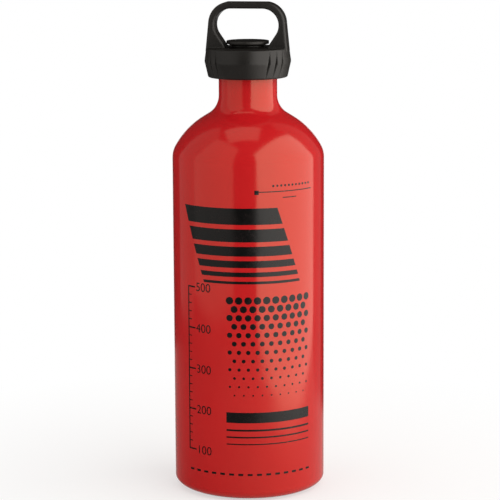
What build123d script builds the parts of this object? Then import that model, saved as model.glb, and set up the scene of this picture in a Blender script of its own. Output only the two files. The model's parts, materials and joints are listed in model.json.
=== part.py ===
from build123d import *
import os
from math import asin, cos, degrees, radians, sin

# Camping fuel bottle: a one-piece aluminium shell, closed by a push-and-turn stopper
# with a moulded carry loop. Millimetres, +Z up. The origin is the centre of the foot
# ring, and the loop stands in the XZ plane. Threads are left off: shank and bore keep
# the radial room that they fill.

os.makedirs("parts", exist_ok=True)

# Bottle shell
body_dia = 79.0
body_wall = 1.0
base_wall = 1.8
base_dome_rise = 5.5
foot_width = 2.0
base_corner_width = 8.7
base_corner_height = 5.5
corner_start_angle = 270
corner_sweep_angle = 90
barrel_top = 174.6
shoulder_round = 13.0
shoulder_round_angle = 29
shoulder_crown_angle = 29.5
shoulder_cone = 3.8
neck_fillet = 11.0
neck_dia = 30.4
neck_wall = 1.9
neck_length = 15.55
lip_chamfer = 0.5

# Seal ring, and the stopper plug that screws into the neck
seal_section = 2.4
fit_gap = 0.05
flange_overhang = 3.55
flange_thickness = 1.5
plug_reach = 13.0
plug_wall = 2.6
plug_crown = 2.1
plug_tip_chamfer = 0.8
thread_room = 0.9
seat_clearance = 0.4
vent_width = 2.4
vent_depth = 1.0

# Drive teeth on the flange, and the lugs above them in the overcap
tooth_count = 12
tooth_height = 1.4
tooth_gap = 0.4
tooth_width = 3.3
tooth_tip_width = 1.5
tooth_length = 4.0
tooth_margin = 0.5

# Finger spring that holds the lugs out of the teeth
spring_width = 3.5
spring_clearance = 1.4
spring_thickness = 0.5
finger_count = 6
finger_length = 6.0
finger_width_share = 0.75
finger_pad = 1.2
hub_height = 0.8
hub_clearance = 0.3

# Overcap: skirt, top plate and retaining bead
plate_thickness = 1.7
skirt_height = 15.1
skirt_knee_drop = 6.8
skirt_top_wall = 2.05
skirt_knee_wall = 3.0
skirt_foot_wall = 1.1
skirt_knee_round = 3.0
skirt_foot_round = 0.9
rim_round = 0.8
bore_clearance = 0.5
bead_grip = 0.6
bead_height = 1.6
bead_gap = 0.1

# Overcap: spool-shaped boss in the middle of the top
boss_height = 3.65
boss_dia = 22.0
boss_waist_dia = 17.0
boss_waist_height = 0.7
boss_foot_dia = 24.0
boss_flange = 1.6
boss_dish_dia = 17.6
boss_dish_depth = 0.4
boss_core_dia = 13.0
boss_roof = 2.0
boss_round = 0.3

# Overcap: carry loop, given by half widths and by heights above the top plate
loop_height = 23.5
loop_top_half = 10.6
loop_corner_round = 4.0
loop_side_half = 19.87
loop_side_height = 13.5
loop_foot_inset = 0.15
loop_foot_depth = 11.0
loop_top_depth = 9.0
loop_round = 0.8
opening_height = 20.15
opening_top_half = 8.2
opening_side_half = 16.7
opening_side_height = 11.65
opening_heel_half = 15.1
opening_heel_height = 6.7
opening_foot_half = 9.5

# Overcap: slanting grip grooves beside each end of the loop
groove_angles = (49, 37, 25)
groove_lean_angle = 7
groove_top_drop = 0.6
groove_top_inset = 0.0
groove_foot_inset = 0.45
groove_side_angle = 32
groove_mouth = 3.0

cut_overrun = 2.0


def on_axis(radius, azimuth, height):
    """Returns the point at a radius and azimuth about the bottle's axis."""
    return Vector(radius * cos(radians(azimuth)), radius * sin(radians(azimuth)), height)


# Sizes that follow from those above, from the shoulder upwards
body_r = body_dia / 2
neck_r = neck_dia / 2
neck_bore_r = neck_r - neck_wall
foot_outer_r = body_r - base_corner_width
foot_inner_r = foot_outer_r - foot_width
dome_r = (foot_inner_r**2 + base_dome_rise**2) / (2 * base_dome_rise)
dome_angle = degrees(asin(foot_inner_r / dome_r))
shoulder_angle = shoulder_round_angle + shoulder_crown_angle


def shoulder_rise(round_r, crown_r):
    """Returns how far the two convex arcs of the shoulder come in and go up."""
    first = radians(shoulder_round_angle)
    last = radians(shoulder_angle)
    inward = round_r * (1 - cos(first)) + crown_r * (cos(first) - cos(last))
    upward = round_r * sin(first) + crown_r * (sin(last) - sin(first))
    return inward, upward


def crown_radius(barrel_r, bore_r, round_r, fillet_r):
    """Returns the radius of the shoulder's second arc that reaches the neck with the set cone."""
    first = radians(shoulder_round_angle)
    last = radians(shoulder_angle)
    rest = barrel_r - bore_r - round_r * (1 - cos(first)) - fillet_r * (1 - cos(last))
    return (rest - shoulder_cone * sin(last)) / (cos(first) - cos(last))


def cone_length(barrel_r, bore_r, round_r, crown_r, fillet_r):
    """Returns the length of the straight cone between the arcs and the neck fillet."""
    inward = shoulder_rise(round_r, crown_r)[0]
    fillet_inward = fillet_r * (1 - cos(radians(shoulder_angle)))
    return (barrel_r - inward - fillet_inward - bore_r) / sin(radians(shoulder_angle))


def draw_shoulder(start, bore_r, round_r, crown_r, fillet_r):
    """Draws one skin of the shoulder upwards from start, and returns its top point."""
    slope = cone_length(start[0], bore_r, round_r, crown_r, fillet_r)
    rounding = JernArc(start, (0, 1), round_r, shoulder_round_angle)
    crown = JernArc(rounding @ 1, rounding % 1, crown_r, shoulder_crown_angle)
    cone = PolarLine(crown @ 1, slope, direction=crown % 1)
    fillet_arc = JernArc(cone @ 1, cone % 1, fillet_r, -shoulder_angle)
    return fillet_arc @ 1


shoulder_crown = crown_radius(body_r, neck_r, shoulder_round, neck_fillet)
neck_start = (
    barrel_top
    + shoulder_rise(shoulder_round, shoulder_crown)[1]
    + shoulder_cone * cos(radians(shoulder_angle))
    + neck_fillet * sin(radians(shoulder_angle))
)
lip_z = neck_start + neck_length

seat_r = neck_bore_r - seat_clearance
seal_inner_r = seat_r + fit_gap
seal_mean_r = seal_inner_r + seal_section / 2
flange_r = seal_mean_r + seal_section / 2 + flange_overhang
flange_under_z = lip_z + seal_section + 2 * fit_gap
flange_top_z = flange_under_z + flange_thickness
tooth_outer_r = flange_r - tooth_margin
tooth_inner_r = tooth_outer_r - tooth_length
plate_under_z = flange_top_z + 2 * tooth_height + tooth_gap
cap_top_z = plate_under_z + plate_thickness
skirt_foot_z = cap_top_z - skirt_height
cap_bore_r = flange_r + bore_clearance
skirt_top_r = cap_bore_r + skirt_top_wall
skirt_foot_r = cap_bore_r + skirt_foot_wall

# Bottle shell
with BuildPart() as bottle_shell:
    with BuildSketch(Plane.XZ):
        with BuildLine():
            Line((foot_inner_r, 0), (foot_outer_r, 0))
            corner_centre = (foot_outer_r, base_corner_height)
            EllipticalCenterArc(
                corner_centre,
                base_corner_width,
                base_corner_height,
                corner_start_angle,
                arc_size=corner_sweep_angle,
            )
            Line((body_r, base_corner_height), (body_r, barrel_top))
            outer_top = draw_shoulder(
                (body_r, barrel_top), neck_r, shoulder_round, shoulder_crown, neck_fillet
            )
            lip_side = Line(outer_top, (neck_r, lip_z - lip_chamfer))
            lip_outer = Line(lip_side @ 1, (neck_r - lip_chamfer, lip_z))
            lip_inner = (neck_bore_r + lip_chamfer, lip_z)
            lip_flat = Line(lip_outer @ 1, lip_inner)
            bore_lead = Line(lip_flat @ 1, (neck_bore_r, lip_z - lip_chamfer))
            inner_top = draw_shoulder(
                (body_r - body_wall, barrel_top),
                neck_bore_r,
                shoulder_round - body_wall,
                shoulder_crown - body_wall,
                neck_fillet + body_wall,
            )
            Line(bore_lead @ 1, inner_top)
            Line((body_r - body_wall, barrel_top), (body_r - body_wall, base_corner_height))
            EllipticalCenterArc(
                corner_centre,
                base_corner_width - body_wall,
                base_corner_height - base_wall,
                corner_start_angle,
                arc_size=corner_sweep_angle,
            )
            Line((foot_outer_r, base_wall), (foot_inner_r, base_wall))
            JernArc((0, base_wall + base_dome_rise), (1, 0), dome_r, -dome_angle)
            Line((0, base_wall + base_dome_rise), (0, base_dome_rise))
            JernArc((0, base_dome_rise), (1, 0), dome_r, -dome_angle)
        make_face()
    revolve(axis=Axis.Z)
bottle_shell.part.label = "bottle_shell"
export_step(bottle_shell.part, "parts/bottle_shell.step")

# Seal ring between the lip and the flange
with BuildPart() as seal_ring:
    with BuildSketch(Plane.XZ):
        with Locations((seal_mean_r, lip_z + fit_gap + seal_section / 2)):
            Circle(seal_section / 2)
    revolve(axis=Axis.Z)
seal_ring.part.label = "seal_ring"
export_step(seal_ring.part, "parts/seal_ring.step")

# One drive tooth at azimuth zero: upright on the side that drives, sloping on the other
with BuildPart() as tooth_form:
    tooth_plane = Plane(origin=(tooth_inner_r, 0, flange_top_z), x_dir=(0, 1, 0), z_dir=(1, 0, 0))
    with BuildSketch(tooth_plane):
        with BuildLine():
            Polyline(
                (-tooth_width / 2, -flange_thickness / 2),
                (tooth_width / 2, -flange_thickness / 2),
                (tooth_width / 2, 0),
                (tooth_tip_width - tooth_width / 2, tooth_height),
                (-tooth_width / 2, tooth_height),
                close=True,
            )
        make_face()
    extrude(amount=tooth_length)

# Stopper plug: flange, seal seat, hollow shank with two vent grooves, hub and drive teeth
shank_r = neck_bore_r - thread_room
plug_tip_z = lip_z - plug_reach
spring_outer_r = tooth_inner_r - spring_clearance
spring_inner_r = spring_outer_r - spring_width
hub_r = spring_inner_r - hub_clearance
plug_core_r = shank_r - plug_wall
with BuildPart() as stopper_plug:
    with BuildSketch(Plane.XZ):
        with BuildLine():
            Polyline(
                (0, flange_top_z + hub_height),
                (hub_r, flange_top_z + hub_height),
                (hub_r, flange_top_z),
                (flange_r, flange_top_z),
                (flange_r, flange_under_z),
                (seat_r, flange_under_z),
                (seat_r, lip_z),
                (shank_r, lip_z - seat_clearance),
                (shank_r, plug_tip_z + plug_tip_chamfer),
                (shank_r - plug_tip_chamfer, plug_tip_z),
                (plug_core_r, plug_tip_z),
                (plug_core_r, flange_top_z - plug_crown),
                (0, flange_top_z - plug_crown),
                close=True,
            )
        make_face()
    revolve(axis=Axis.Z)
    with BuildSketch(Plane.XY.offset(plug_tip_z)):
        with PolarLocations(shank_r, 2, start_angle=90):
            Rectangle(2 * vent_depth, vent_width)
    extrude(amount=plug_reach - seal_section, mode=Mode.SUBTRACT)
    with PolarLocations(0, tooth_count):
        add(tooth_form.part)
stopper_plug.part.label = "stopper_plug"
export_step(stopper_plug.part, "parts/stopper_plug.step")

# Finger spring: a flat ring with rising fingers that press on the overcap
spring_base_z = flange_top_z + fit_gap
spring_tip_z = plate_under_z - fit_gap
finger_width = spring_width * finger_width_share
finger_inner_r = (spring_inner_r + spring_outer_r - finger_width) / 2
with BuildPart() as finger_form:
    finger_plane = Plane(
        origin=(finger_inner_r, 0, spring_base_z), x_dir=(0, 1, 0), z_dir=(1, 0, 0)
    )
    finger_rise = spring_tip_z - spring_base_z
    with BuildSketch(finger_plane):
        with BuildLine():
            Polyline(
                (-finger_length / 2, 0),
                (finger_length / 2 - finger_pad, finger_rise - spring_thickness),
                (finger_length / 2, finger_rise - spring_thickness),
                (finger_length / 2, finger_rise),
                (finger_length / 2 - finger_pad, finger_rise),
                (-finger_length / 2, spring_thickness),
                close=True,
            )
        make_face()
    extrude(amount=finger_width)

with BuildPart() as finger_spring:
    with BuildSketch(Plane.XY.offset(spring_base_z)):
        Circle(spring_outer_r)
        Circle(spring_inner_r, mode=Mode.SUBTRACT)
    extrude(amount=spring_thickness)
    with PolarLocations(0, finger_count):
        add(finger_form.part)
finger_spring.part.label = "finger_spring"
export_step(finger_spring.part, "parts/finger_spring.step")

# Carry loop: its front outline, cut by its tapering side outline, with rounded edges
loop_root_z = cap_top_z - plate_thickness
loop_top_z = cap_top_z + loop_height
loop_foot_half = skirt_top_r - loop_foot_inset
with BuildPart() as loop_form:
    with BuildSketch(Plane.XZ) as loop_sketch:
        with BuildLine():
            side_end = (loop_side_half, cap_top_z + loop_side_height)
            side = Line((loop_foot_half, loop_root_z), side_end)
            TangentArc(side @ 1, (loop_top_half, loop_top_z), tangent=side % 1)
            Line((loop_top_half, loop_top_z), (0, loop_top_z))
            Line((0, loop_root_z), side @ 0)
            mirror(about=Plane.YZ)
        make_face()
        fillet(loop_sketch.vertices().group_by(Axis.Y)[-1], loop_corner_round)
        with BuildLine():
            opening_top = Line(
                (0, cap_top_z + opening_height), (opening_top_half, cap_top_z + opening_height)
            )
            opening_side = (opening_side_half, cap_top_z + opening_side_height)
            bend = TangentArc(opening_top @ 1, opening_side, tangent=opening_top % 1)
            opening_heel = (opening_heel_half, cap_top_z + opening_heel_height)
            heel = TangentArc(bend @ 1, opening_heel, tangent=bend % 1)
            foot_line = Line(heel @ 1, (opening_foot_half, loop_root_z))
            Line(foot_line @ 1, (0, loop_root_z))
            mirror(about=Plane.YZ)
        make_face(mode=Mode.SUBTRACT)
    extrude(amount=loop_foot_depth / 2, both=True)
    with BuildSketch(Plane.YZ):
        with BuildLine():
            Polyline(
                (-loop_foot_depth / 2, loop_root_z),
                (loop_foot_depth / 2, loop_root_z),
                (loop_top_depth / 2, loop_top_z),
                (-loop_top_depth / 2, loop_top_z),
                close=True,
            )
        make_face()
    extrude(amount=loop_foot_half, both=True, mode=Mode.INTERSECT)
    raised_edges = loop_form.edges().filter_by(lambda edge: edge.center().Z > cap_top_z)
    long_edges = raised_edges.filter_by(lambda edge: abs(edge.center().Y) > loop_top_depth / 4)
    fillet(long_edges, loop_round)

# Overcap: skirt and top plate, boss, carry loop, drive lugs, bead and grip grooves
knee_z = cap_top_z - skirt_knee_drop
bead_top_z = flange_under_z - bead_gap
bead_r = flange_r - bead_grip
with BuildPart() as overcap:
    with BuildSketch(Plane.XZ) as skirt_sketch:
        with BuildLine():
            Polyline(
                (0, plate_under_z),
                (cap_bore_r, plate_under_z),
                (cap_bore_r, bead_top_z),
                (bead_r, bead_top_z - bead_grip),
                (bead_r, bead_top_z - bead_height + bead_grip),
                (cap_bore_r, bead_top_z - bead_height),
                (cap_bore_r, skirt_foot_z),
                (skirt_foot_r, skirt_foot_z),
                (cap_bore_r + skirt_knee_wall, knee_z),
                (skirt_top_r, cap_top_z),
                (0, cap_top_z),
                close=True,
            )
        make_face()
        outer_corners = skirt_sketch.vertices().sort_by(Axis.X)
        fillet(outer_corners[-1], skirt_knee_round)
        fillet(skirt_sketch.vertices().group_by(Axis.Y)[0].sort_by(Axis.X)[-1], skirt_foot_round)
        fillet(skirt_sketch.vertices().group_by(Axis.Y)[-1].sort_by(Axis.X)[-1], rim_round)
    revolve(axis=Axis.Z)
    add(loop_form.part)
    with BuildSketch(Plane.XZ) as boss_sketch:
        with BuildLine():
            boss_root_z = cap_top_z - plate_thickness / 2
            boss_top_z = cap_top_z + boss_height
            boss_under_z = boss_top_z - boss_flange
            waist_z = (cap_top_z + boss_under_z) / 2
            dish_r = boss_dish_dia / 2
            dish_z = boss_top_z - boss_dish_depth
            Polyline(
                (0, boss_root_z),
                (boss_foot_dia / 2, boss_root_z),
                (boss_foot_dia / 2, cap_top_z),
                (boss_waist_dia / 2, waist_z - boss_waist_height / 2),
                (boss_waist_dia / 2, waist_z + boss_waist_height / 2),
                (boss_dia / 2, boss_under_z),
                (boss_dia / 2, boss_top_z),
                (dish_r, boss_top_z),
                (dish_r - boss_dish_depth, dish_z),
                (0, dish_z),
                close=True,
            )
        make_face()
        fillet(boss_sketch.vertices().group_by(Axis.Y)[-1].sort_by(Axis.X)[-1], boss_round)
    revolve(axis=Axis.Z)
    with BuildSketch(Plane.XY.offset(plate_under_z)):
        Circle(boss_core_dia / 2)
    extrude(amount=cap_top_z + boss_height - boss_roof - plate_under_z, mode=Mode.SUBTRACT)
    lug_middle_z = (flange_top_z + plate_under_z) / 2
    lug_form = mirror(tooth_form.part, about=Plane.XY.offset(lug_middle_z), mode=Mode.PRIVATE)
    with PolarLocations(0, tooth_count, start_angle=180 / tooth_count):
        add(lug_form)
    groove_top_z = cap_top_z - groove_top_drop
    for side_sign in (1, -1):
        for end_azimuth in (0, 180):
            for groove_angle in groove_angles:
                top_azimuth = end_azimuth + side_sign * groove_angle
                foot_azimuth = top_azimuth + side_sign * groove_lean_angle
                groove_top = on_axis(skirt_top_r - groove_top_inset, top_azimuth, groove_top_z)
                foot_r = skirt_foot_r - groove_foot_inset
                groove_foot = on_axis(foot_r, foot_azimuth, skirt_foot_z - cut_overrun)
                tangent = on_axis(1, top_azimuth + 90, 0)
                run = groove_foot - groove_top
                groove_plane = Plane(origin=groove_top, x_dir=tangent, z_dir=run)
                groove_half = groove_mouth * sin(radians(groove_side_angle))
                with BuildSketch(groove_plane):
                    with BuildLine():
                        Polyline(
                            (0, 0), (groove_half, groove_mouth), (-groove_half, groove_mouth), close=True
                        )
                    make_face()
                extrude(amount=run.length, mode=Mode.SUBTRACT)
overcap.part.label = "overcap"
export_step(overcap.part, "parts/overcap.step")
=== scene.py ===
"""Camping fuel bottle: finishes, print, threads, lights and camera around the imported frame."""

import json
from math import atan2, cos, pi, radians, sin, tau

import bmesh
import bpy
from mathutils import Matrix, Vector

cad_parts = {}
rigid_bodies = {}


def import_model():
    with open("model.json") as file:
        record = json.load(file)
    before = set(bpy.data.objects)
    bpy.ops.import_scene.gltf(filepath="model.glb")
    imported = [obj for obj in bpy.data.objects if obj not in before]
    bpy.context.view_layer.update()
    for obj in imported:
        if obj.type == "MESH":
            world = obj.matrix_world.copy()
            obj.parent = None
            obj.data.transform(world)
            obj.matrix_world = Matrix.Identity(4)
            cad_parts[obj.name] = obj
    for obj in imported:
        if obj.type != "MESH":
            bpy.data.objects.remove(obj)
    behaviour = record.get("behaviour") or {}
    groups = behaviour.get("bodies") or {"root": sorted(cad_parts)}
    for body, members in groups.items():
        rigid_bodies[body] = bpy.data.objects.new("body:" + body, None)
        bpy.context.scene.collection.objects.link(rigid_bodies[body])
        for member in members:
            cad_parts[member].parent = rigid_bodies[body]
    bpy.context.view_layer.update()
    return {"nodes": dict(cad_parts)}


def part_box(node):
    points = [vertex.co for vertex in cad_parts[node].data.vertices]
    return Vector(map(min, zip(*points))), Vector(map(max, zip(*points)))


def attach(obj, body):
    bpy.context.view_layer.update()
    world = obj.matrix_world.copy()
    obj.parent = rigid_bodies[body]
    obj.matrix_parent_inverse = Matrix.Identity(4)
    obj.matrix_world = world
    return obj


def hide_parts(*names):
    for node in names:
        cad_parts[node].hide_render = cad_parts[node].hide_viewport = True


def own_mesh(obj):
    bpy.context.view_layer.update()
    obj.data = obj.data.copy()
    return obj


for leftover in list(bpy.data.objects):
    bpy.data.objects.remove(leftover)

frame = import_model()

MM = 0.001

# Camera: fitted to the photograph. The bottle's X axis is turned a little towards it.
CAMERA_AZIMUTH = radians(9.5)
CAMERA_DISTANCE = 1.098
CAMERA_HEIGHT = 0.3188
CAMERA_PITCH = radians(9.99)
CAMERA_YAW = radians(-0.036)
CAMERA_ROLL = radians(-0.26)
CAMERA_LENS = 153.0
SENSOR_WIDTH = 36

# Shell outline, as in the solid, in millimetres
BODY_R = 39.5
BODY_WALL = 1.0
BASE_WALL = 1.8
DOME_RISE = 5.5
FOOT_WIDTH = 2.0
FOOT_ROUND = 0.35
CORNER_WIDTH = 8.7
CORNER_HEIGHT = 5.5
BARREL_TOP = 174.6
SHOULDER_ROUND = 13.0
SHOULDER_ROUND_ANGLE = radians(29)
SHOULDER_CROWN_ANGLE = radians(29.5)
SHOULDER_CONE = 3.8
NECK_FILLET = 11.0
NECK_R = 15.2
NECK_WALL = 1.9
LIP_CHAMFER = 0.5
ENAMEL_STOP = 1.6
COAT_INSET = 0.03

# Threads
THREAD_PITCH = 3.0
THREAD_TURNS = 3.2
THREAD_BASE_WIDTH = 1.1
THREAD_CREST_WIDTH = 0.45
THREAD_RUNOUT_ANGLE = radians(50)
NECK_THREAD_CREST_R = 12.65
PLUG_SHANK_R = 12.4
PLUG_THREAD_CREST_R = 13.05
THREAD_LIP_DROP = 2.6
VENT_HALF_ANGLE = radians(7)
THREAD_TIP_SHARE = 0.001

# Resolution of the turned meshes
LATHE_STEPS = 256
ARC_STEP_ANGLE = radians(3)
THREAD_STEP_ANGLE = radians(4)
SHARP_ANGLE = radians(35)
AXIS_TOLERANCE = 0.001

# Print: drawn flat, in millimetres round the barrel and above the base, then wrapped
PRINT_AZIMUTH = CAMERA_AZIMUTH - pi / 2 - radians(1.5)
PRINT_SLICE = 1.0
PRINT_PROUD = 0.018
PRINT_THICKNESS = 0.012
PRINT_RIM_FACING = 0.5
HAIRLINE = 0.5
RULE = 0.8
DOT_SIDES = 28
FILL_LEFT = 4.0
FILL_RIGHT = 38.0
FILL_Z = 161.5
FILL_TICK = 2.2
FILL_DOTS = 11
FILL_DOT_PITCH = 2.2
FILL_DOT_RISE = 3.2
FILL_DOT_R = 0.6
FILL_NOTE_LEFT = 19.0
FILL_NOTE_RIGHT = 27.0
STRIPE_TOP = 153.5
STRIPE_THICKNESSES = (8.4, 6.6, 5.0, 3.6, 2.4, 1.4)
STRIPE_GAP = 2.3
STRIPE_SLANT = 0.35
STRIPE_LEFT = -37.0
STRIPE_RIGHT = 16.0
SCALE_LEFT = -35.0
SCALE_LOW = 25.4
SCALE_STEP = 21.47
SCALE_PARTS = 5
SCALE_MAJOR = 5.5
SCALE_MINOR = 2.8
SCALE_NUMBERS = ("100", "200", "300", "400", "500")
FIGURE_SIZE = 6.4
DOT_LEFT = -9.0
DOT_TOP = 106.0
DOT_PITCH = 4.8
DOT_ROW_PITCH = 4.5
DOT_ROWS = 12
DOT_COLUMNS = 10
DOT_LARGE = 1.95
DOT_SMALL = 0.45
RULES = ((42.0, 47.5), (37.6, 38.6), (34.0, 34.8), (30.4, 31.0))
RULES_LEFT = -11.0
RULES_RIGHT = 36.0
DASHES = 15
DASH_LEFT = -34.0
DASH_PITCH = 4.85
DASH_LENGTH = 2.6
DASH_Z = 14.0
DASH_HEIGHT = 1.1


def on_axis(radius, azimuth, height):
    """Returns the point in metres at a radius and height in millimetres about the axis."""
    return Vector((radius * cos(azimuth), radius * sin(azimuth), height)) * MM


def new_object(name, data):
    """Makes an object of a mesh, light or camera and puts it in the scene."""
    obj = bpy.data.objects.new(name, data)
    bpy.context.scene.collection.objects.link(obj)
    return obj


# Outlines for turned meshes


class Outline:
    """An outline in radius and height, drawn on like a pen that keeps its heading."""

    def __init__(self, points, heading):
        self.points = points
        self.heading = heading

    def line(self, length):
        """Runs straight on along the heading."""
        radius, height = self.points[-1]
        end = (radius + length * cos(self.heading), height + length * sin(self.heading))
        self.points.append(end)

    def line_to(self, radius, height):
        """Runs straight to a point, and keeps that heading."""
        last_radius, last_height = self.points[-1]
        self.heading = atan2(height - last_height, radius - last_radius)
        self.points.append((radius, height))

    def arc(self, round_radius, turn):
        """Turns by an angle, left if positive, round an arc."""
        steps = max(2, round(abs(turn) / ARC_STEP_ANGLE))
        side = 1 if turn > 0 else -1
        radius, height = self.points[-1]
        centre_heading = self.heading + side * pi / 2
        centre_radius = radius + round_radius * cos(centre_heading)
        centre_height = height + round_radius * sin(centre_heading)
        start = centre_heading + pi
        for step in range(1, steps + 1):
            angle = start + turn * step / steps
            self.points.append(
                (
                    centre_radius + round_radius * cos(angle),
                    centre_height + round_radius * sin(angle),
                )
            )
        self.heading += turn


def mesh_object(name, vertices, faces):
    """Makes a smooth-shaded object whose edges are sharp beyond the sharp angle."""
    mesh = bpy.data.meshes.new(name)
    mesh.from_pydata([tuple(vertex) for vertex in vertices], [], faces)
    mesh.validate()
    mesh.polygons.foreach_set("use_smooth", [True] * len(mesh.polygons))
    mesh.set_sharp_from_angle(angle=SHARP_ANGLE)
    return new_object(name, mesh)


def lathe(name, points):
    """Turns an outline round the axis. Returns the object and each face's outline segment."""
    vertices = []
    rings = []
    for radius, height in points:
        if radius < AXIS_TOLERANCE:
            rings.append([len(vertices)])
            vertices.append(on_axis(0, 0, height))
            continue
        rings.append(list(range(len(vertices), len(vertices) + LATHE_STEPS)))
        for step in range(LATHE_STEPS):
            vertices.append(on_axis(radius, tau * step / LATHE_STEPS, height))
    faces = []
    segments = []
    for segment, (low, high) in enumerate(zip(rings, rings[1:])):
        for step in range(LATHE_STEPS):
            following = (step + 1) % LATHE_STEPS
            corners = [low[step % len(low)], low[following % len(low)]]
            corners += [high[following % len(high)], high[step % len(high)]]
            faces.append(list(dict.fromkeys(corners)))
            segments.append(segment)
    return mesh_object(name, vertices, faces), segments


# Materials

# Sockets of a Mix node set to colours, whose names it shares with its other data types
MIX_FACTOR = 0
MIX_FIRST = 6
MIX_SECOND = 7
MIX_RESULT = 2


def node(tree, kind, inputs=None, **settings):
    """Adds a shader node with its settings and input values."""
    made = tree.nodes.new(kind)
    for key, value in settings.items():
        setattr(made, key, value)
    for key, value in (inputs or {}).items():
        if isinstance(value, bpy.types.NodeSocket):
            tree.links.new(value, made.inputs[key])
        else:
            made.inputs[key].default_value = value
    return made


def new_material(name):
    """Returns a material, its node tree and its Principled shader."""
    material = bpy.data.materials.new(name)
    material.use_nodes = True
    tree = material.node_tree
    return material, tree, tree.nodes["Principled BSDF"]


def object_noise(tree, scale, detail=2.0, roughness=0.5, stretch=(1, 1, 1)):
    """Returns a noise value in object coordinates, with scale in cells per metre."""
    coordinates = node(tree, "ShaderNodeTexCoord").outputs["Object"]
    mapping = node(tree, "ShaderNodeMapping", {"Vector": coordinates, "Scale": stretch})
    noise = node(
        tree,
        "ShaderNodeTexNoise",
        {
            "Vector": mapping.outputs["Vector"],
            "Scale": scale,
            "Detail": detail,
            "Roughness": roughness,
        },
    )
    return noise.outputs["Fac"]


def spread(tree, value, low, high, start=0.3, stop=0.7):
    """Maps a value from start to stop onto low to high."""
    ramp = node(
        tree,
        "ShaderNodeMapRange",
        {"Value": value, "From Min": start, "From Max": stop, "To Min": low, "To Max": high},
    )
    return ramp.outputs["Result"]


def blend_colors(tree, factor, first, second):
    """Mixes two colours by a factor."""
    mix = node(tree, "ShaderNodeMix", data_type="RGBA")
    for place, value in ((MIX_FACTOR, factor), (MIX_FIRST, first), (MIX_SECOND, second)):
        socket = mix.inputs[place]
        if isinstance(value, bpy.types.NodeSocket):
            tree.links.new(value, socket)
        elif isinstance(value, tuple):
            socket.default_value = (*value, 1)
        else:
            socket.default_value = value
    return mix.outputs[MIX_RESULT]


def bump(tree, height, strength, distance, below=None):
    """Returns a bumped normal, on top of another bump if one is given."""
    inputs = {"Height": height, "Strength": strength, "Distance": distance}
    if below is not None:
        inputs["Normal"] = below
    return node(tree, "ShaderNodeBump", inputs).outputs["Normal"]


# Colours, and the least and greatest roughness of each finish
ENAMEL_RED = (0.50, 0.0105, 0.0135)
ENAMEL_DEEP = (0.45, 0.0085, 0.0115)
ENAMEL_ROUGHNESS = (0.11, 0.16)
ENAMEL_SPECULAR = 0.75
ENAMEL_SPECULAR_TINT = (1.0, 0.78, 0.55, 1)
INK_BLACK = (0.0030, 0.0026, 0.0026)
INK_WORN = (0.0075, 0.0042, 0.0042)
INK_ROUGHNESS = (0.20, 0.30)
INK_SPECULAR = 0.36
INK_WEAR = (0.45, 0.75)
CAP_BLACK = (0.0055, 0.0045, 0.0036)
CAP_DUSTY = (0.0105, 0.0090, 0.0075)
# Lighter colour for edges that stick out: rubbed wear, and a painted highlight along them
CAP_WEAR_AND_HIGHLIGHT = (0.034, 0.031, 0.028)
CAP_GRAIN = 2600
CAP_ROUGHNESS = (0.34, 0.46)
PLUG_BLACK = (0.020, 0.020, 0.021)
PLUG_DUSTY = (0.038, 0.037, 0.037)
PLUG_GRAIN = 1900
PLUG_ROUGHNESS = (0.42, 0.55)
METAL_PALE = (0.80, 0.81, 0.82)
METAL_GREY = (0.60, 0.61, 0.62)
METAL_ROUGHNESS = (0.26, 0.44)
SPRING_ROUGHNESS = (0.22, 0.40)
RUBBER_BLACK = (0.012, 0.012, 0.012)
RUBBER_GREY = (0.030, 0.030, 0.029)
RUBBER_ROUGHNESS = (0.50, 0.68)
TALC_RANGE = (0.5, 0.8)

# Moulded plastic: most bloom, lightening of edges by how far they stick out (rubbed wear and
# painted highlight), and rounding of the edges in metres, greater on the loop above the cap's top
# plate
BLOOM_SHARE = 0.8
WEAR_AND_HIGHLIGHT_SHARE = 0.55
WEAR_AND_HIGHLIGHT_RANGE = (0.515, 0.60)
SKIRT_EDGE_R = 0.0010
LOOP_EDGE_R = 0.0020
PLATE_TOP = 0.2315
LOOP_BLEND = 0.003
BEVEL_SAMPLES = 8


def make_enamel():
    """Sprayed and baked red enamel, with a faint orange peel under a clear gloss."""
    material, tree, shader = new_material("enamel_red")
    cloud = object_noise(tree, scale=14, detail=3)
    color = blend_colors(tree, spread(tree, cloud, 0, 1), ENAMEL_RED, ENAMEL_DEEP)
    handling = object_noise(tree, scale=60, detail=5, roughness=0.6)
    ripple = object_noise(tree, scale=34, detail=1)
    peel = object_noise(tree, scale=700, detail=1)
    speck = object_noise(tree, scale=4200, detail=2)
    normal = bump(tree, ripple, strength=0.35, distance=0.0004)
    normal = bump(tree, peel, strength=0.10, distance=0.00003, below=normal)
    normal = bump(tree, speck, strength=0.05, distance=0.00001, below=normal)
    tree.links.new(color, shader.inputs["Base Color"])
    tree.links.new(spread(tree, handling, *ENAMEL_ROUGHNESS), shader.inputs["Roughness"])
    tree.links.new(normal, shader.inputs["Normal"])
    shader.inputs["Specular IOR Level"].default_value = ENAMEL_SPECULAR
    shader.inputs["Specular Tint"].default_value = ENAMEL_SPECULAR_TINT
    return material


def make_ink():
    """Screen-printed black ink, a little uneven, as glossy as the enamel under it."""
    material, tree, shader = new_material("ink_black")
    patch = object_noise(tree, scale=260, detail=4, roughness=0.65)
    color = blend_colors(tree, spread(tree, patch, 0, 1, *INK_WEAR), INK_BLACK, INK_WORN)
    weave = object_noise(tree, scale=5200, detail=1)
    tree.links.new(color, shader.inputs["Base Color"])
    normal = bump(tree, weave, strength=0.06, distance=0.00001)
    tree.links.new(spread(tree, patch, *INK_ROUGHNESS), shader.inputs["Roughness"])
    tree.links.new(normal, shader.inputs["Normal"])
    shader.inputs["Specular IOR Level"].default_value = INK_SPECULAR
    return material


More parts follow.
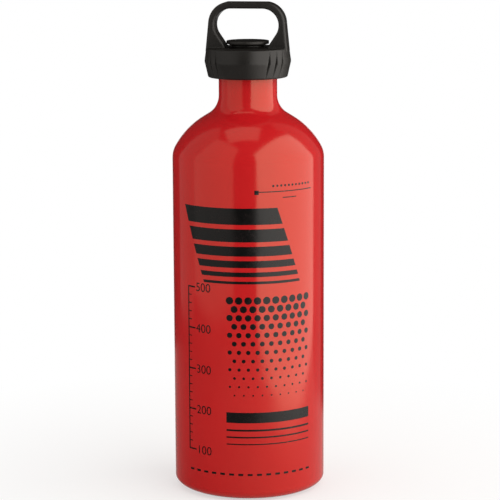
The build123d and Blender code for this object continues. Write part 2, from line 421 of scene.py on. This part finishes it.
def make_bare_metal():
    """Aluminium as the forming tools left it: turned rings and a dull, streaked gloss."""
    material, tree, shader = new_material("bare_aluminium")
    rings = object_noise(tree, scale=40, detail=4, roughness=0.7, stretch=(1, 1, 90))
    blotch = object_noise(tree, scale=90, detail=4, roughness=0.6)
    color = blend_colors(tree, spread(tree, blotch, 0, 1), METAL_PALE, METAL_GREY)
    tree.links.new(color, shader.inputs["Base Color"])
    normal = bump(tree, rings, strength=0.25, distance=0.00004)
    tree.links.new(spread(tree, rings, *METAL_ROUGHNESS), shader.inputs["Roughness"])
    tree.links.new(normal, shader.inputs["Normal"])
    shader.inputs["Metallic"].default_value = 1
    return material


def make_moulded(name, dark, dusty, edge_wear_and_highlight_color, grain_scale, roughness):
    """Moulded black plastic: fine spark grain, a dusty bloom, and edges lightened by how far they
    stick out, partly rubbed wear and partly a painted highlight.
    """
    material, tree, shader = new_material(name)
    bloom = object_noise(tree, scale=75, detail=5, roughness=0.65)
    edge = node(tree, "ShaderNodeNewGeometry").outputs["Pointiness"]
    # Edges that stick out get a lighter colour: partly rubbed wear, partly a painted highlight
    edge_wear_and_highlight_mask = spread(tree, edge, 0, WEAR_AND_HIGHLIGHT_SHARE, *WEAR_AND_HIGHLIGHT_RANGE)
    color = blend_colors(tree, spread(tree, bloom, 0, BLOOM_SHARE), dark, dusty)
    color = blend_colors(tree, edge_wear_and_highlight_mask, color, edge_wear_and_highlight_color)
    grain = object_noise(tree, scale=grain_scale, detail=2)
    flow = object_noise(tree, scale=220, detail=2, stretch=(1, 1, 0.35))
    place = node(tree, "ShaderNodeTexCoord").outputs["Object"]
    level = node(tree, "ShaderNodeSeparateXYZ", {"Vector": place}).outputs["Z"]
    edge_r = spread(tree, level, SKIRT_EDGE_R, LOOP_EDGE_R, PLATE_TOP, PLATE_TOP + LOOP_BLEND)
    rounded = node(tree, "ShaderNodeBevel", {"Radius": edge_r}, samples=BEVEL_SAMPLES)
    normal = rounded.outputs["Normal"]
    normal = bump(tree, grain, strength=0.30, distance=0.00004, below=normal)
    normal = bump(tree, flow, strength=0.12, distance=0.00006, below=normal)
    tree.links.new(color, shader.inputs["Base Color"])
    tree.links.new(spread(tree, bloom, *roughness), shader.inputs["Roughness"])
    tree.links.new(normal, shader.inputs["Normal"])
    return material


def make_spring_steel():
    """Stamped spring steel, brushed across, with a blue-grey cast."""
    material, tree, shader = new_material("spring_steel_strip")
    brushing = object_noise(tree, scale=160, detail=4, roughness=0.7, stretch=(1, 14, 1))
    color = blend_colors(tree, spread(tree, brushing, 0, 1), METAL_GREY, METAL_PALE)
    tree.links.new(color, shader.inputs["Base Color"])
    normal = bump(tree, brushing, strength=0.15, distance=0.00002)
    tree.links.new(spread(tree, brushing, *SPRING_ROUGHNESS), shader.inputs["Roughness"])
    tree.links.new(normal, shader.inputs["Normal"])
    shader.inputs["Metallic"].default_value = 1
    return material


def make_rubber():
    """Fuel-proof rubber, matt, with a trace of talc."""
    material, tree, shader = new_material("seal_rubber")
    talc = object_noise(tree, scale=420, detail=5, roughness=0.7)
    color = blend_colors(tree, spread(tree, talc, 0, 1, *TALC_RANGE), RUBBER_BLACK, RUBBER_GREY)
    tree.links.new(color, shader.inputs["Base Color"])
    normal = bump(tree, talc, strength=0.15, distance=0.00003)
    tree.links.new(spread(tree, talc, *RUBBER_ROUGHNESS), shader.inputs["Roughness"])
    tree.links.new(normal, shader.inputs["Normal"])
    return material


enamel = make_enamel()
ink = make_ink()
bare_metal = make_bare_metal()
cap_plastic = make_moulded(
    "cap_moulding", CAP_BLACK, CAP_DUSTY, CAP_WEAR_AND_HIGHLIGHT, CAP_GRAIN, CAP_ROUGHNESS
)
# The plug's edges that stick out are lightened to its dusty colour: rubbed wear and a painted
# highlight
plug_plastic = make_moulded(
    "plug_moulding", PLUG_BLACK, PLUG_DUSTY, PLUG_DUSTY, PLUG_GRAIN, PLUG_ROUGHNESS
)
spring_steel = make_spring_steel()
rubber = make_rubber()

# Shell: enamelled outside, bare at the lip and inside


def shoulder(outline, start_r, end_r, round_r, fillet_r, crown_r):
    """Draws one skin of the shoulder upwards from the barrel to the neck."""
    full = SHOULDER_ROUND_ANGLE + SHOULDER_CROWN_ANGLE
    inward = round_r * (1 - cos(SHOULDER_ROUND_ANGLE))
    inward += crown_r * (cos(SHOULDER_ROUND_ANGLE) - cos(full))
    inward += fillet_r * (1 - cos(full))
    outline.arc(round_r, SHOULDER_ROUND_ANGLE)
    outline.arc(crown_r, SHOULDER_CROWN_ANGLE)
    outline.line((start_r - end_r - inward) / sin(full))
    outline.arc(fillet_r, -full)


def crown_radius():
    """Returns the radius of the shoulder's second arc, as the solid works it out."""
    full = SHOULDER_ROUND_ANGLE + SHOULDER_CROWN_ANGLE
    rest = BODY_R - NECK_R - SHOULDER_ROUND * (1 - cos(SHOULDER_ROUND_ANGLE))
    rest -= NECK_FILLET * (1 - cos(full)) + SHOULDER_CONE * sin(full)
    return rest / (cos(SHOULDER_ROUND_ANGLE) - cos(full))


def base_corner(foot_r, width, height, centre_height):
    """Returns the points of the elliptical corner, from the foot up to the barrel."""
    steps = round(pi / 2 / ARC_STEP_ANGLE)
    angles = [-pi / 2 + pi / 2 * step / steps for step in range(steps + 1)]
    return [(foot_r + width * cos(a), centre_height + height * sin(a)) for a in angles]


lip_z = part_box("bottle_shell")[1].z / MM
crown_r = crown_radius()
foot_outer_r = BODY_R - CORNER_WIDTH
foot_inner_r = foot_outer_r - FOOT_WIDTH
dome_r = (foot_inner_r**2 + DOME_RISE**2) / (2 * DOME_RISE)
neck_bore_r = NECK_R - NECK_WALL


def dome(base_height):
    """Returns the points of the domed base, from the axis out to the foot."""
    reach = atan2(foot_inner_r, dome_r - DOME_RISE)
    steps = round(reach / ARC_STEP_ANGLE) * 2
    centre = base_height + DOME_RISE - dome_r
    angles = [reach * step / steps for step in range(steps + 1)]
    return [(dome_r * sin(angle), centre + dome_r * cos(angle)) for angle in angles]


def outside_outline():
    """Returns the enamelled skin's points, from the middle of the base up to the lip."""
    coat_r = BODY_R - COAT_INSET
    points = dome(0)[:-1]
    points.append((foot_inner_r - FOOT_ROUND, FOOT_ROUND))
    points.append((foot_inner_r, 0))
    points += base_corner(foot_outer_r, CORNER_WIDTH - COAT_INSET, CORNER_HEIGHT, CORNER_HEIGHT)
    barrel = Outline(points, pi / 2)
    barrel.line_to(coat_r, BARREL_TOP)
    shoulder(barrel, coat_r, NECK_R - COAT_INSET, SHOULDER_ROUND, NECK_FILLET, crown_r)
    barrel.line_to(NECK_R - COAT_INSET, lip_z - ENAMEL_STOP)
    return barrel.points


def inside_outline():
    """Returns the bare skin's points, from the enamel's end over the lip to the base."""
    down = Outline([(BODY_R - BODY_WALL, BARREL_TOP)], pi / 2)
    shoulder(
        down,
        BODY_R - BODY_WALL,
        neck_bore_r,
        SHOULDER_ROUND - BODY_WALL,
        NECK_FILLET + BODY_WALL,
        crown_r - BODY_WALL,
    )
    points = [
        (NECK_R - 2 * COAT_INSET, lip_z - ENAMEL_STOP),
        (NECK_R - 2 * COAT_INSET, lip_z - LIP_CHAMFER),
        (NECK_R - LIP_CHAMFER, lip_z),
        (neck_bore_r + LIP_CHAMFER, lip_z),
        (neck_bore_r, lip_z - LIP_CHAMFER),
    ]
    points += down.points[::-1]
    corner = base_corner(
        foot_outer_r, CORNER_WIDTH - BODY_WALL, CORNER_HEIGHT - BASE_WALL, CORNER_HEIGHT
    )
    points += corner[::-1]
    points += dome(BASE_WALL)[::-1]
    return points


outside = outside_outline()
inside = inside_outline()
bottle_skin, skin_segments = lathe("bottle_skin", outside + inside)
bottle_skin.data.materials.append(enamel)
bottle_skin.data.materials.append(bare_metal)
for polygon, segment in zip(bottle_skin.data.polygons, skin_segments):
    polygon.material_index = 0 if segment < len(outside) else 1
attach(bottle_skin, "bottle")
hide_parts("bottle_shell")

# Threads: one in the neck, one on the plug half a pitch away, which the vents cut through


def in_gap(azimuth, gaps):
    """Says whether an azimuth lies in one of the vents."""
    return any(abs((azimuth - gap + pi) % tau - pi) < VENT_HALF_ANGLE for gap in gaps)


def helix(name, root_r, crest_r, start_z, gaps=()):
    """Makes a right-handed ridge from its root to its crest, tapered at each end."""
    total = THREAD_TURNS * tau
    steps = round(total / THREAD_STEP_ANGLE)
    vertices = []
    faces = []
    previous = None
    for step in range(steps + 1):
        angle = total * step / steps
        if in_gap(angle, gaps):
            previous = None
            continue
        fade = min(1.0, angle / THREAD_RUNOUT_ANGLE, (total - angle) / THREAD_RUNOUT_ANGLE)
        fade = max(fade, THREAD_TIP_SHARE)
        height = start_z + THREAD_PITCH * angle / tau
        crest = root_r + (crest_r - root_r) * fade
        section = (
            (root_r, height - THREAD_BASE_WIDTH / 2 * fade),
            (crest, height - THREAD_CREST_WIDTH / 2 * fade),
            (crest, height + THREAD_CREST_WIDTH / 2 * fade),
            (root_r, height + THREAD_BASE_WIDTH / 2 * fade),
        )
        first = len(vertices)
        vertices += [on_axis(radius, angle, z) for radius, z in section]
        ring = [first + corner for corner in range(len(section))]
        if previous is None:
            faces.append(ring)
        else:
            for corner in range(len(section)):
                after = (corner + 1) % len(section)
                faces.append([previous[corner], previous[after], ring[after], ring[corner]])
        previous = ring
        if step == steps or in_gap(angle + total / steps, gaps):
            faces.append(ring[::-1])
    obj = mesh_object(name, vertices, faces)
    shell = bmesh.new()
    shell.from_mesh(obj.data)
    bmesh.ops.recalc_face_normals(shell, faces=shell.faces)
    shell.to_mesh(obj.data)
    shell.free()
    return obj


thread_foot_z = lip_z - THREAD_LIP_DROP - THREAD_TURNS * THREAD_PITCH
neck_thread = helix("neck_thread", neck_bore_r, NECK_THREAD_CREST_R, thread_foot_z)
neck_thread.data.materials.append(bare_metal)
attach(neck_thread, "bottle")

plug_thread = helix(
    "plug_thread",
    PLUG_SHANK_R,
    PLUG_THREAD_CREST_R,
    thread_foot_z + THREAD_PITCH / 2,
    gaps=(pi / 2, -pi / 2),
)
plug_thread.data.materials.append(plug_plastic)
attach(plug_thread, "plug")

# Finishes of the solids that are shown as they are
for name, finish in (
    ("overcap", cap_plastic),
    ("stopper_plug", plug_plastic),
    ("finger_spring", spring_steel),
    ("seal_ring", rubber),
):
    frame["nodes"][name].material_slots[0].material = finish

# Finger spring, which on the real cap flattens under the overcap as it is pushed down: shown here
# as its own unchanged copy of the solid's mesh
fingers = new_object("spring_fingers", frame["nodes"]["finger_spring"].data.copy())
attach(fingers, "spring")
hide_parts("finger_spring")
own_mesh(fingers)

# Print: a generic design of stripes, dots, rules and a plain scale in millilitres


def wrap_print(name, flat):
    """Slices a flat drawing upright, wraps it round the barrel and gives the ink its thickness."""
    skin_r = BODY_R - COAT_INSET + PRINT_PROUD
    left = min(vertex.co.x for vertex in flat.verts)
    right = max(vertex.co.x for vertex in flat.verts)
    cut = left + PRINT_SLICE
    while cut < right:
        whole = flat.verts[:] + flat.edges[:] + flat.faces[:]
        bmesh.ops.bisect_plane(flat, geom=whole, plane_co=(cut, 0, 0), plane_no=(1, 0, 0))
        cut += PRINT_SLICE
    for vertex in flat.verts:
        azimuth = PRINT_AZIMUTH + vertex.co.x / BODY_R
        vertex.co = on_axis(skin_r, azimuth, vertex.co.y)
    flat.normal_update()
    bmesh.ops.solidify(flat, geom=flat.faces[:], thickness=PRINT_THICKNESS * MM)
    mesh = bpy.data.meshes.new(name)
    flat.to_mesh(mesh)
    flat.free()
    mesh.polygons.foreach_set("use_smooth", [True] * len(mesh.polygons))
    mesh.set_sharp_from_angle(angle=SHARP_ANGLE)
    normals = []
    for polygon in mesh.polygons:
        for index in polygon.vertices:
            radial = Vector((*mesh.vertices[index].co.xy, 0)).normalized()
            facing = radial.dot(polygon.normal)
            if abs(facing) < PRINT_RIM_FACING:
                normals.append(polygon.normal)
            else:
                normals.append(radial * (1 if facing > 0 else -1))
    mesh.normals_split_custom_set(normals)
    mesh.materials.append(ink)
    obj = new_object(name, mesh)
    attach(obj, "bottle")


def add_bar(flat, left, right, low, high, slant=0):
    """Adds a bar, with upright or slanting ends."""
    corners = ((left, low), (right, low), (right + slant, high), (left + slant, high))
    flat.faces.new([flat.verts.new((x, y, 0)) for x, y in corners])


def add_disc(flat, x, y, radius):
    """Adds a round dot."""
    angles = [tau * side / DOT_SIDES for side in range(DOT_SIDES)]
    rim = [(x + radius * cos(angle), y + radius * sin(angle), 0) for angle in angles]
    flat.faces.new([flat.verts.new(corner) for corner in rim])


def add_number(flat, text, left, middle):
    """Adds plain figures in Blender's own typeface."""
    curve = bpy.data.curves.new(text, "FONT")
    curve.body = text
    curve.size = FIGURE_SIZE
    curve.align_y = "CENTER"
    holder = bpy.data.objects.new(text, curve)
    mesh = bpy.data.meshes.new_from_object(holder)
    mesh.transform(Matrix.Translation((left, middle, 0)))
    flat.from_mesh(mesh)
    bpy.data.objects.remove(holder)
    bpy.data.meshes.remove(mesh)


# Fill mark near the shoulder, on the right: a line with a square at its end, a row of dots
# above it and a short line below
fill_mark = bmesh.new()
square_low = FILL_Z - FILL_TICK / 2
note_low = FILL_Z - FILL_DOT_RISE
add_bar(fill_mark, FILL_LEFT, FILL_RIGHT, FILL_Z, FILL_Z + HAIRLINE)
add_bar(fill_mark, FILL_LEFT, FILL_LEFT + FILL_TICK, square_low, FILL_Z + FILL_TICK / 2)
for dot in range(FILL_DOTS):
    dot_x = FILL_RIGHT - FILL_DOT_PITCH * (dot + 1)
    add_disc(fill_mark, dot_x, FILL_Z + FILL_DOT_RISE, FILL_DOT_R)
add_bar(fill_mark, FILL_NOTE_LEFT, FILL_NOTE_RIGHT, note_low, note_low + HAIRLINE)
wrap_print("print_fill_mark", fill_mark)

# Slanting stripes, each thinner than the one above
stripes = bmesh.new()
stripe_low = STRIPE_TOP
for thickness in STRIPE_THICKNESSES:
    stripe_low -= thickness
    shift = STRIPE_SLANT * (STRIPE_TOP - stripe_low)
    left = STRIPE_LEFT + shift
    right = STRIPE_RIGHT + shift
    add_bar(stripes, left, right, stripe_low, stripe_low + thickness, -STRIPE_SLANT * thickness)
    stripe_low -= STRIPE_GAP
wrap_print("print_stripes", stripes)

# Scale: a long line with ticks, and a number at every fifth
scale = bmesh.new()
scale_top = SCALE_LOW + SCALE_STEP * (len(SCALE_NUMBERS) - 1)
add_bar(scale, SCALE_LEFT, SCALE_LEFT + RULE, SCALE_LOW, scale_top)
for tick in range(SCALE_PARTS * (len(SCALE_NUMBERS) - 1) + 1):
    tick_z = SCALE_LOW + SCALE_STEP * tick / SCALE_PARTS
    major = tick % SCALE_PARTS == 0
    reach = SCALE_MAJOR if major else SCALE_MINOR
    weight = RULE if major else HAIRLINE
    add_bar(scale, SCALE_LEFT, SCALE_LEFT + reach, tick_z - weight / 2, tick_z + weight / 2)
for index, number in enumerate(SCALE_NUMBERS):
    add_number(scale, number, SCALE_LEFT + SCALE_MAJOR + HAIRLINE, SCALE_LOW + SCALE_STEP * index)
wrap_print("print_scale", scale)

# Dots that shrink downwards, in staggered rows
dots = bmesh.new()
for row in range(DOT_ROWS):
    fraction = row / (DOT_ROWS - 1)
    radius = DOT_LARGE + (DOT_SMALL - DOT_LARGE) * fraction
    stagger = DOT_PITCH / 2 * (row % 2)
    for column in range(DOT_COLUMNS - row % 2):
        dot_x = DOT_LEFT + stagger + DOT_PITCH * column
        add_disc(dots, dot_x, DOT_TOP - DOT_ROW_PITCH * row, radius)
wrap_print("print_dots", dots)

# Rules under the dots, and a row of short dashes near the foot
rules = bmesh.new()
for low, high in RULES:
    add_bar(rules, RULES_LEFT, RULES_RIGHT, low, high)
for dash in range(DASHES):
    dash_left = DASH_LEFT + DASH_PITCH * dash
    add_bar(rules, dash_left, dash_left + DASH_LENGTH, DASH_Z, DASH_Z + DASH_HEIGHT)
wrap_print("print_rules", rules)

# Stage: a floor near the object, and lamps inside a dark tent that only the gloss mirrors.
# Sizes are in metres
FLOOR_HALF = 8.0
FLOOR_PALE = (0.88, 0.88, 0.88, 1)
FLOOR_WHITE_SHARE = 0.55
FLOOR_FADE = (0.04, 0.26)
WHITE = (1, 1, 1, 1)
LAMP_TINT = (1.0, 0.955, 0.90)
LAMP_DISTANCE = 0.62
OVERHEAD_DISTANCE = 0.135
WORLD_FILL = 0.34

# Upright lamps that light and are mirrored: name, azimuth, foot, top, width and radiance.
# Azimuths are measured from the camera's direction, to the right when positive
SOFTBOXES = (
    ("key_softbox", radians(62.9), -0.12, 1.3, 1.54, 2.0),
    ("fill_softbox_front", radians(-55), -0.03, 1.3, 0.805, 0.55),
    ("fill_softbox_back", radians(-107), -0.03, 1.3, 0.42, 0.27),
    ("rim_softbox", radians(128), -0.12, 1.3, 0.28, 0.20),
)

# Upright lamps that only light, which the gloss doesn't mirror
HIDDEN_SOFTBOXES = (
    ("bounce_softbox", radians(-105), 0, 0.9, 0.7, 0.50),
    ("back_fill_softbox", radians(178), 0, 0.9, 0.9, 0.75),
)
OVERHEAD_SOFTBOX = ("overhead_softbox", radians(-45), 0.885, 1.315, 0.6, 0.75)

# Tent: heights of its edges from foot to top, and how strongly its bands glow. The lowest band
# is a pale table, brighter on the right, that ends lower behind the object's right edge. The
# tent is open towards the white backdrop behind
FLAG_R = 1.8
FLAG_LEVELS = (-1.2, -0.33, 0.25, 1.6)
FLAG_STEPS = 60
FLAG_GLOW = 0.03
TABLE_GLOW_LEFT = 0.12
TABLE_GLOW_RIGHT = 0.55
TABLE_EDGE = 1
TABLE_END_ANGLE = radians(115)
TABLE_END_DROP = 0.09
BACKDROP_STEPS = 2


def bare_material(name):
    """Returns a material and its node tree, emptied."""
    material = bpy.data.materials.new(name)
    material.use_nodes = True
    material.node_tree.nodes.clear()
    return material, material.node_tree


def background_ray(tree):
    """Returns 1 where the camera, gloss or glass looks at the background, and 0 for other light."""
    ray = node(tree, "ShaderNodeLightPath").outputs
    seen = node(
        tree,
        "ShaderNodeMath",
        {0: ray["Is Camera Ray"], 1: ray["Is Transmission Ray"]},
        operation="MAXIMUM",
    )
    mirrored = node(
        tree, "ShaderNodeMath", {0: seen.outputs[0], 1: ray["Is Glossy Ray"]}, operation="MAXIMUM"
    )
    return mirrored.outputs[0]


def make_floor_material():
    """Pale floor: diffuse near the object, so that it holds the shadow, white further out."""
    material, tree = bare_material("studio_floor")
    place = node(tree, "ShaderNodeNewGeometry").outputs["Position"]
    away = node(tree, "ShaderNodeVectorMath", {0: place}, operation="LENGTH").outputs["Value"]
    fade = spread(tree, away, FLOOR_WHITE_SHARE, 1, *FLOOR_FADE)
    far = node(tree, "ShaderNodeMath", {0: fade, 1: background_ray(tree)}, operation="MULTIPLY")
    pale = node(tree, "ShaderNodeBsdfDiffuse", {"Color": FLOOR_PALE})
    white = node(tree, "ShaderNodeEmission", {"Color": WHITE, "Strength": 1.0})
    mixed = node(tree, "ShaderNodeMixShader", {0: far.outputs[0]})
    tree.links.new(pale.outputs[0], mixed.inputs[1])
    tree.links.new(white.outputs[0], mixed.inputs[2])
    output = node(tree, "ShaderNodeOutputMaterial")
    tree.links.new(mixed.outputs[0], output.inputs["Surface"])
    return material


floor_signs = ((-1, -1), (1, -1), (1, 1), (-1, 1))
floor_corners = [(x * FLOOR_HALF, y * FLOOR_HALF, 0) for x, y in floor_signs]
floor = mesh_object("studio_floor", floor_corners, [list(range(len(floor_corners)))])
floor.data.materials.append(make_floor_material())
floor.visible_glossy = False

# Lights


def studio_azimuth(angle):
    """Returns the world azimuth of a direction to the right of the camera by an angle."""
    return -pi / 2 + CAMERA_AZIMUTH + angle


def softbox(name, azimuth, low, high, width, radiance, distance=LAMP_DISTANCE):
    """Makes an upright soft light that faces the bottle's axis, between two heights."""
    light = bpy.data.lights.new(name, "AREA")
    light.shape = "RECTANGLE"
    light.size = width
    light.size_y = high - low
    light.energy = radiance * pi * light.size * light.size_y
    light.color = LAMP_TINT
    obj = new_object(name, light)
    direction = studio_azimuth(azimuth)
    obj.location = (distance * cos(direction), distance * sin(direction), (low + high) / 2)
    obj.rotation_euler = (pi / 2, 0, direction + pi / 2)
    obj.visible_camera = False
    return obj


for lamp in SOFTBOXES:
    softbox(*lamp)
for lamp in HIDDEN_SOFTBOXES:
    softbox(*lamp).visible_glossy = False

# The overhead lamp lies flat and faces down, midway between its two heights. Their difference
# is its depth
overhead = softbox(*OVERHEAD_SOFTBOX, distance=OVERHEAD_DISTANCE)
overhead.rotation_euler = (0, 0, CAMERA_AZIMUTH)


def emitter(name, left_glow, right_glow):
    """Makes a material that only glows, its strength changing from the set's left to its right."""
    material, tree = bare_material(name)
    place = node(tree, "ShaderNodeNewGeometry").outputs["Position"]
    rightward = studio_azimuth(pi / 2)
    across = node(
        tree,
        "ShaderNodeVectorMath",
        {0: place, 1: (cos(rightward), sin(rightward), 0)},
        operation="DOT_PRODUCT",
    )
    strength = spread(tree, across.outputs["Value"], left_glow, right_glow, -FLAG_R, FLAG_R)
    glow = node(tree, "ShaderNodeEmission", {"Color": (*LAMP_TINT, 1), "Strength": strength})
    output = node(tree, "ShaderNodeOutputMaterial")
    tree.links.new(glow.outputs[0], output.inputs["Surface"])
    return material


def make_flags():
    """Makes the tent, seen by gloss alone: its lowest band glows as a pale table would."""
    vertices = []
    for step in range(FLAG_STEPS):
        turn = tau * step / FLAG_STEPS
        around = studio_azimuth(turn)
        drop = TABLE_END_DROP if TABLE_END_ANGLE < turn < pi else 0
        for row, level in enumerate(FLAG_LEVELS):
            height = level - drop if row == TABLE_EDGE else level
            vertices.append((FLAG_R * cos(around), FLAG_R * sin(around), height))
    rows = len(FLAG_LEVELS)
    faces = []
    bands = []
    for step in range(FLAG_STEPS):
        after = (step + 1) % FLAG_STEPS
        behind = abs(step + 0.5 - FLAG_STEPS / 2) < BACKDROP_STEPS
        for band in range(rows - 1):
            if behind and band < rows - 2:
                continue
            here = rows * step + band
            there = rows * after + band
            faces.append((here, there, there + 1, here + 1))
            bands.append(band)
    faces.append([rows * step + rows - 1 for step in range(FLAG_STEPS)])
    faces.append([rows * step for step in range(FLAG_STEPS)])
    bands += [rows, 0]
    flags = mesh_object("studio_flags", vertices, faces)
    flags.data.materials.append(emitter("flag_black", FLAG_GLOW, FLAG_GLOW))
    flags.data.materials.append(emitter("table_pale", TABLE_GLOW_LEFT, TABLE_GLOW_RIGHT))
    for polygon, band in zip(flags.data.polygons, bands):
        polygon.material_index = 1 if band < TABLE_EDGE else 0
    flags.visible_camera = False
    flags.visible_diffuse = False
    flags.visible_transmission = False
    flags.visible_shadow = False


make_flags()

# World: white where it is seen or mirrored, and a soft grey fill for diffuse light
world = bpy.data.worlds.new("studio")
bpy.context.scene.world = world
world.use_nodes = True
world_tree = world.node_tree
world_tree.nodes.clear()
strength = spread(world_tree, background_ray(world_tree), WORLD_FILL, 1, 0, 1)
sky = node(world_tree, "ShaderNodeBackground", {"Color": WHITE, "Strength": strength})
world_output = node(world_tree, "ShaderNodeOutputWorld")
world_tree.links.new(sky.outputs[0], world_output.inputs["Surface"])

# Camera
camera_data = bpy.data.cameras.new("camera")
camera_data.lens = CAMERA_LENS
camera_data.sensor_width = SENSOR_WIDTH
camera = new_object("camera", camera_data)
camera.location = (
    CAMERA_DISTANCE * sin(CAMERA_AZIMUTH),
    -CAMERA_DISTANCE * cos(CAMERA_AZIMUTH),
    CAMERA_HEIGHT,
)
aim = Matrix.Rotation(CAMERA_AZIMUTH + CAMERA_YAW, 4, "Z")
aim = aim @ Matrix.Rotation(pi / 2 - CAMERA_PITCH, 4, "X")
camera.rotation_euler = (aim @ Matrix.Rotation(CAMERA_ROLL, 4, "Z")).to_euler()
bpy.context.scene.camera = camera

bpy.context.scene.view_settings.view_transform = "Standard"
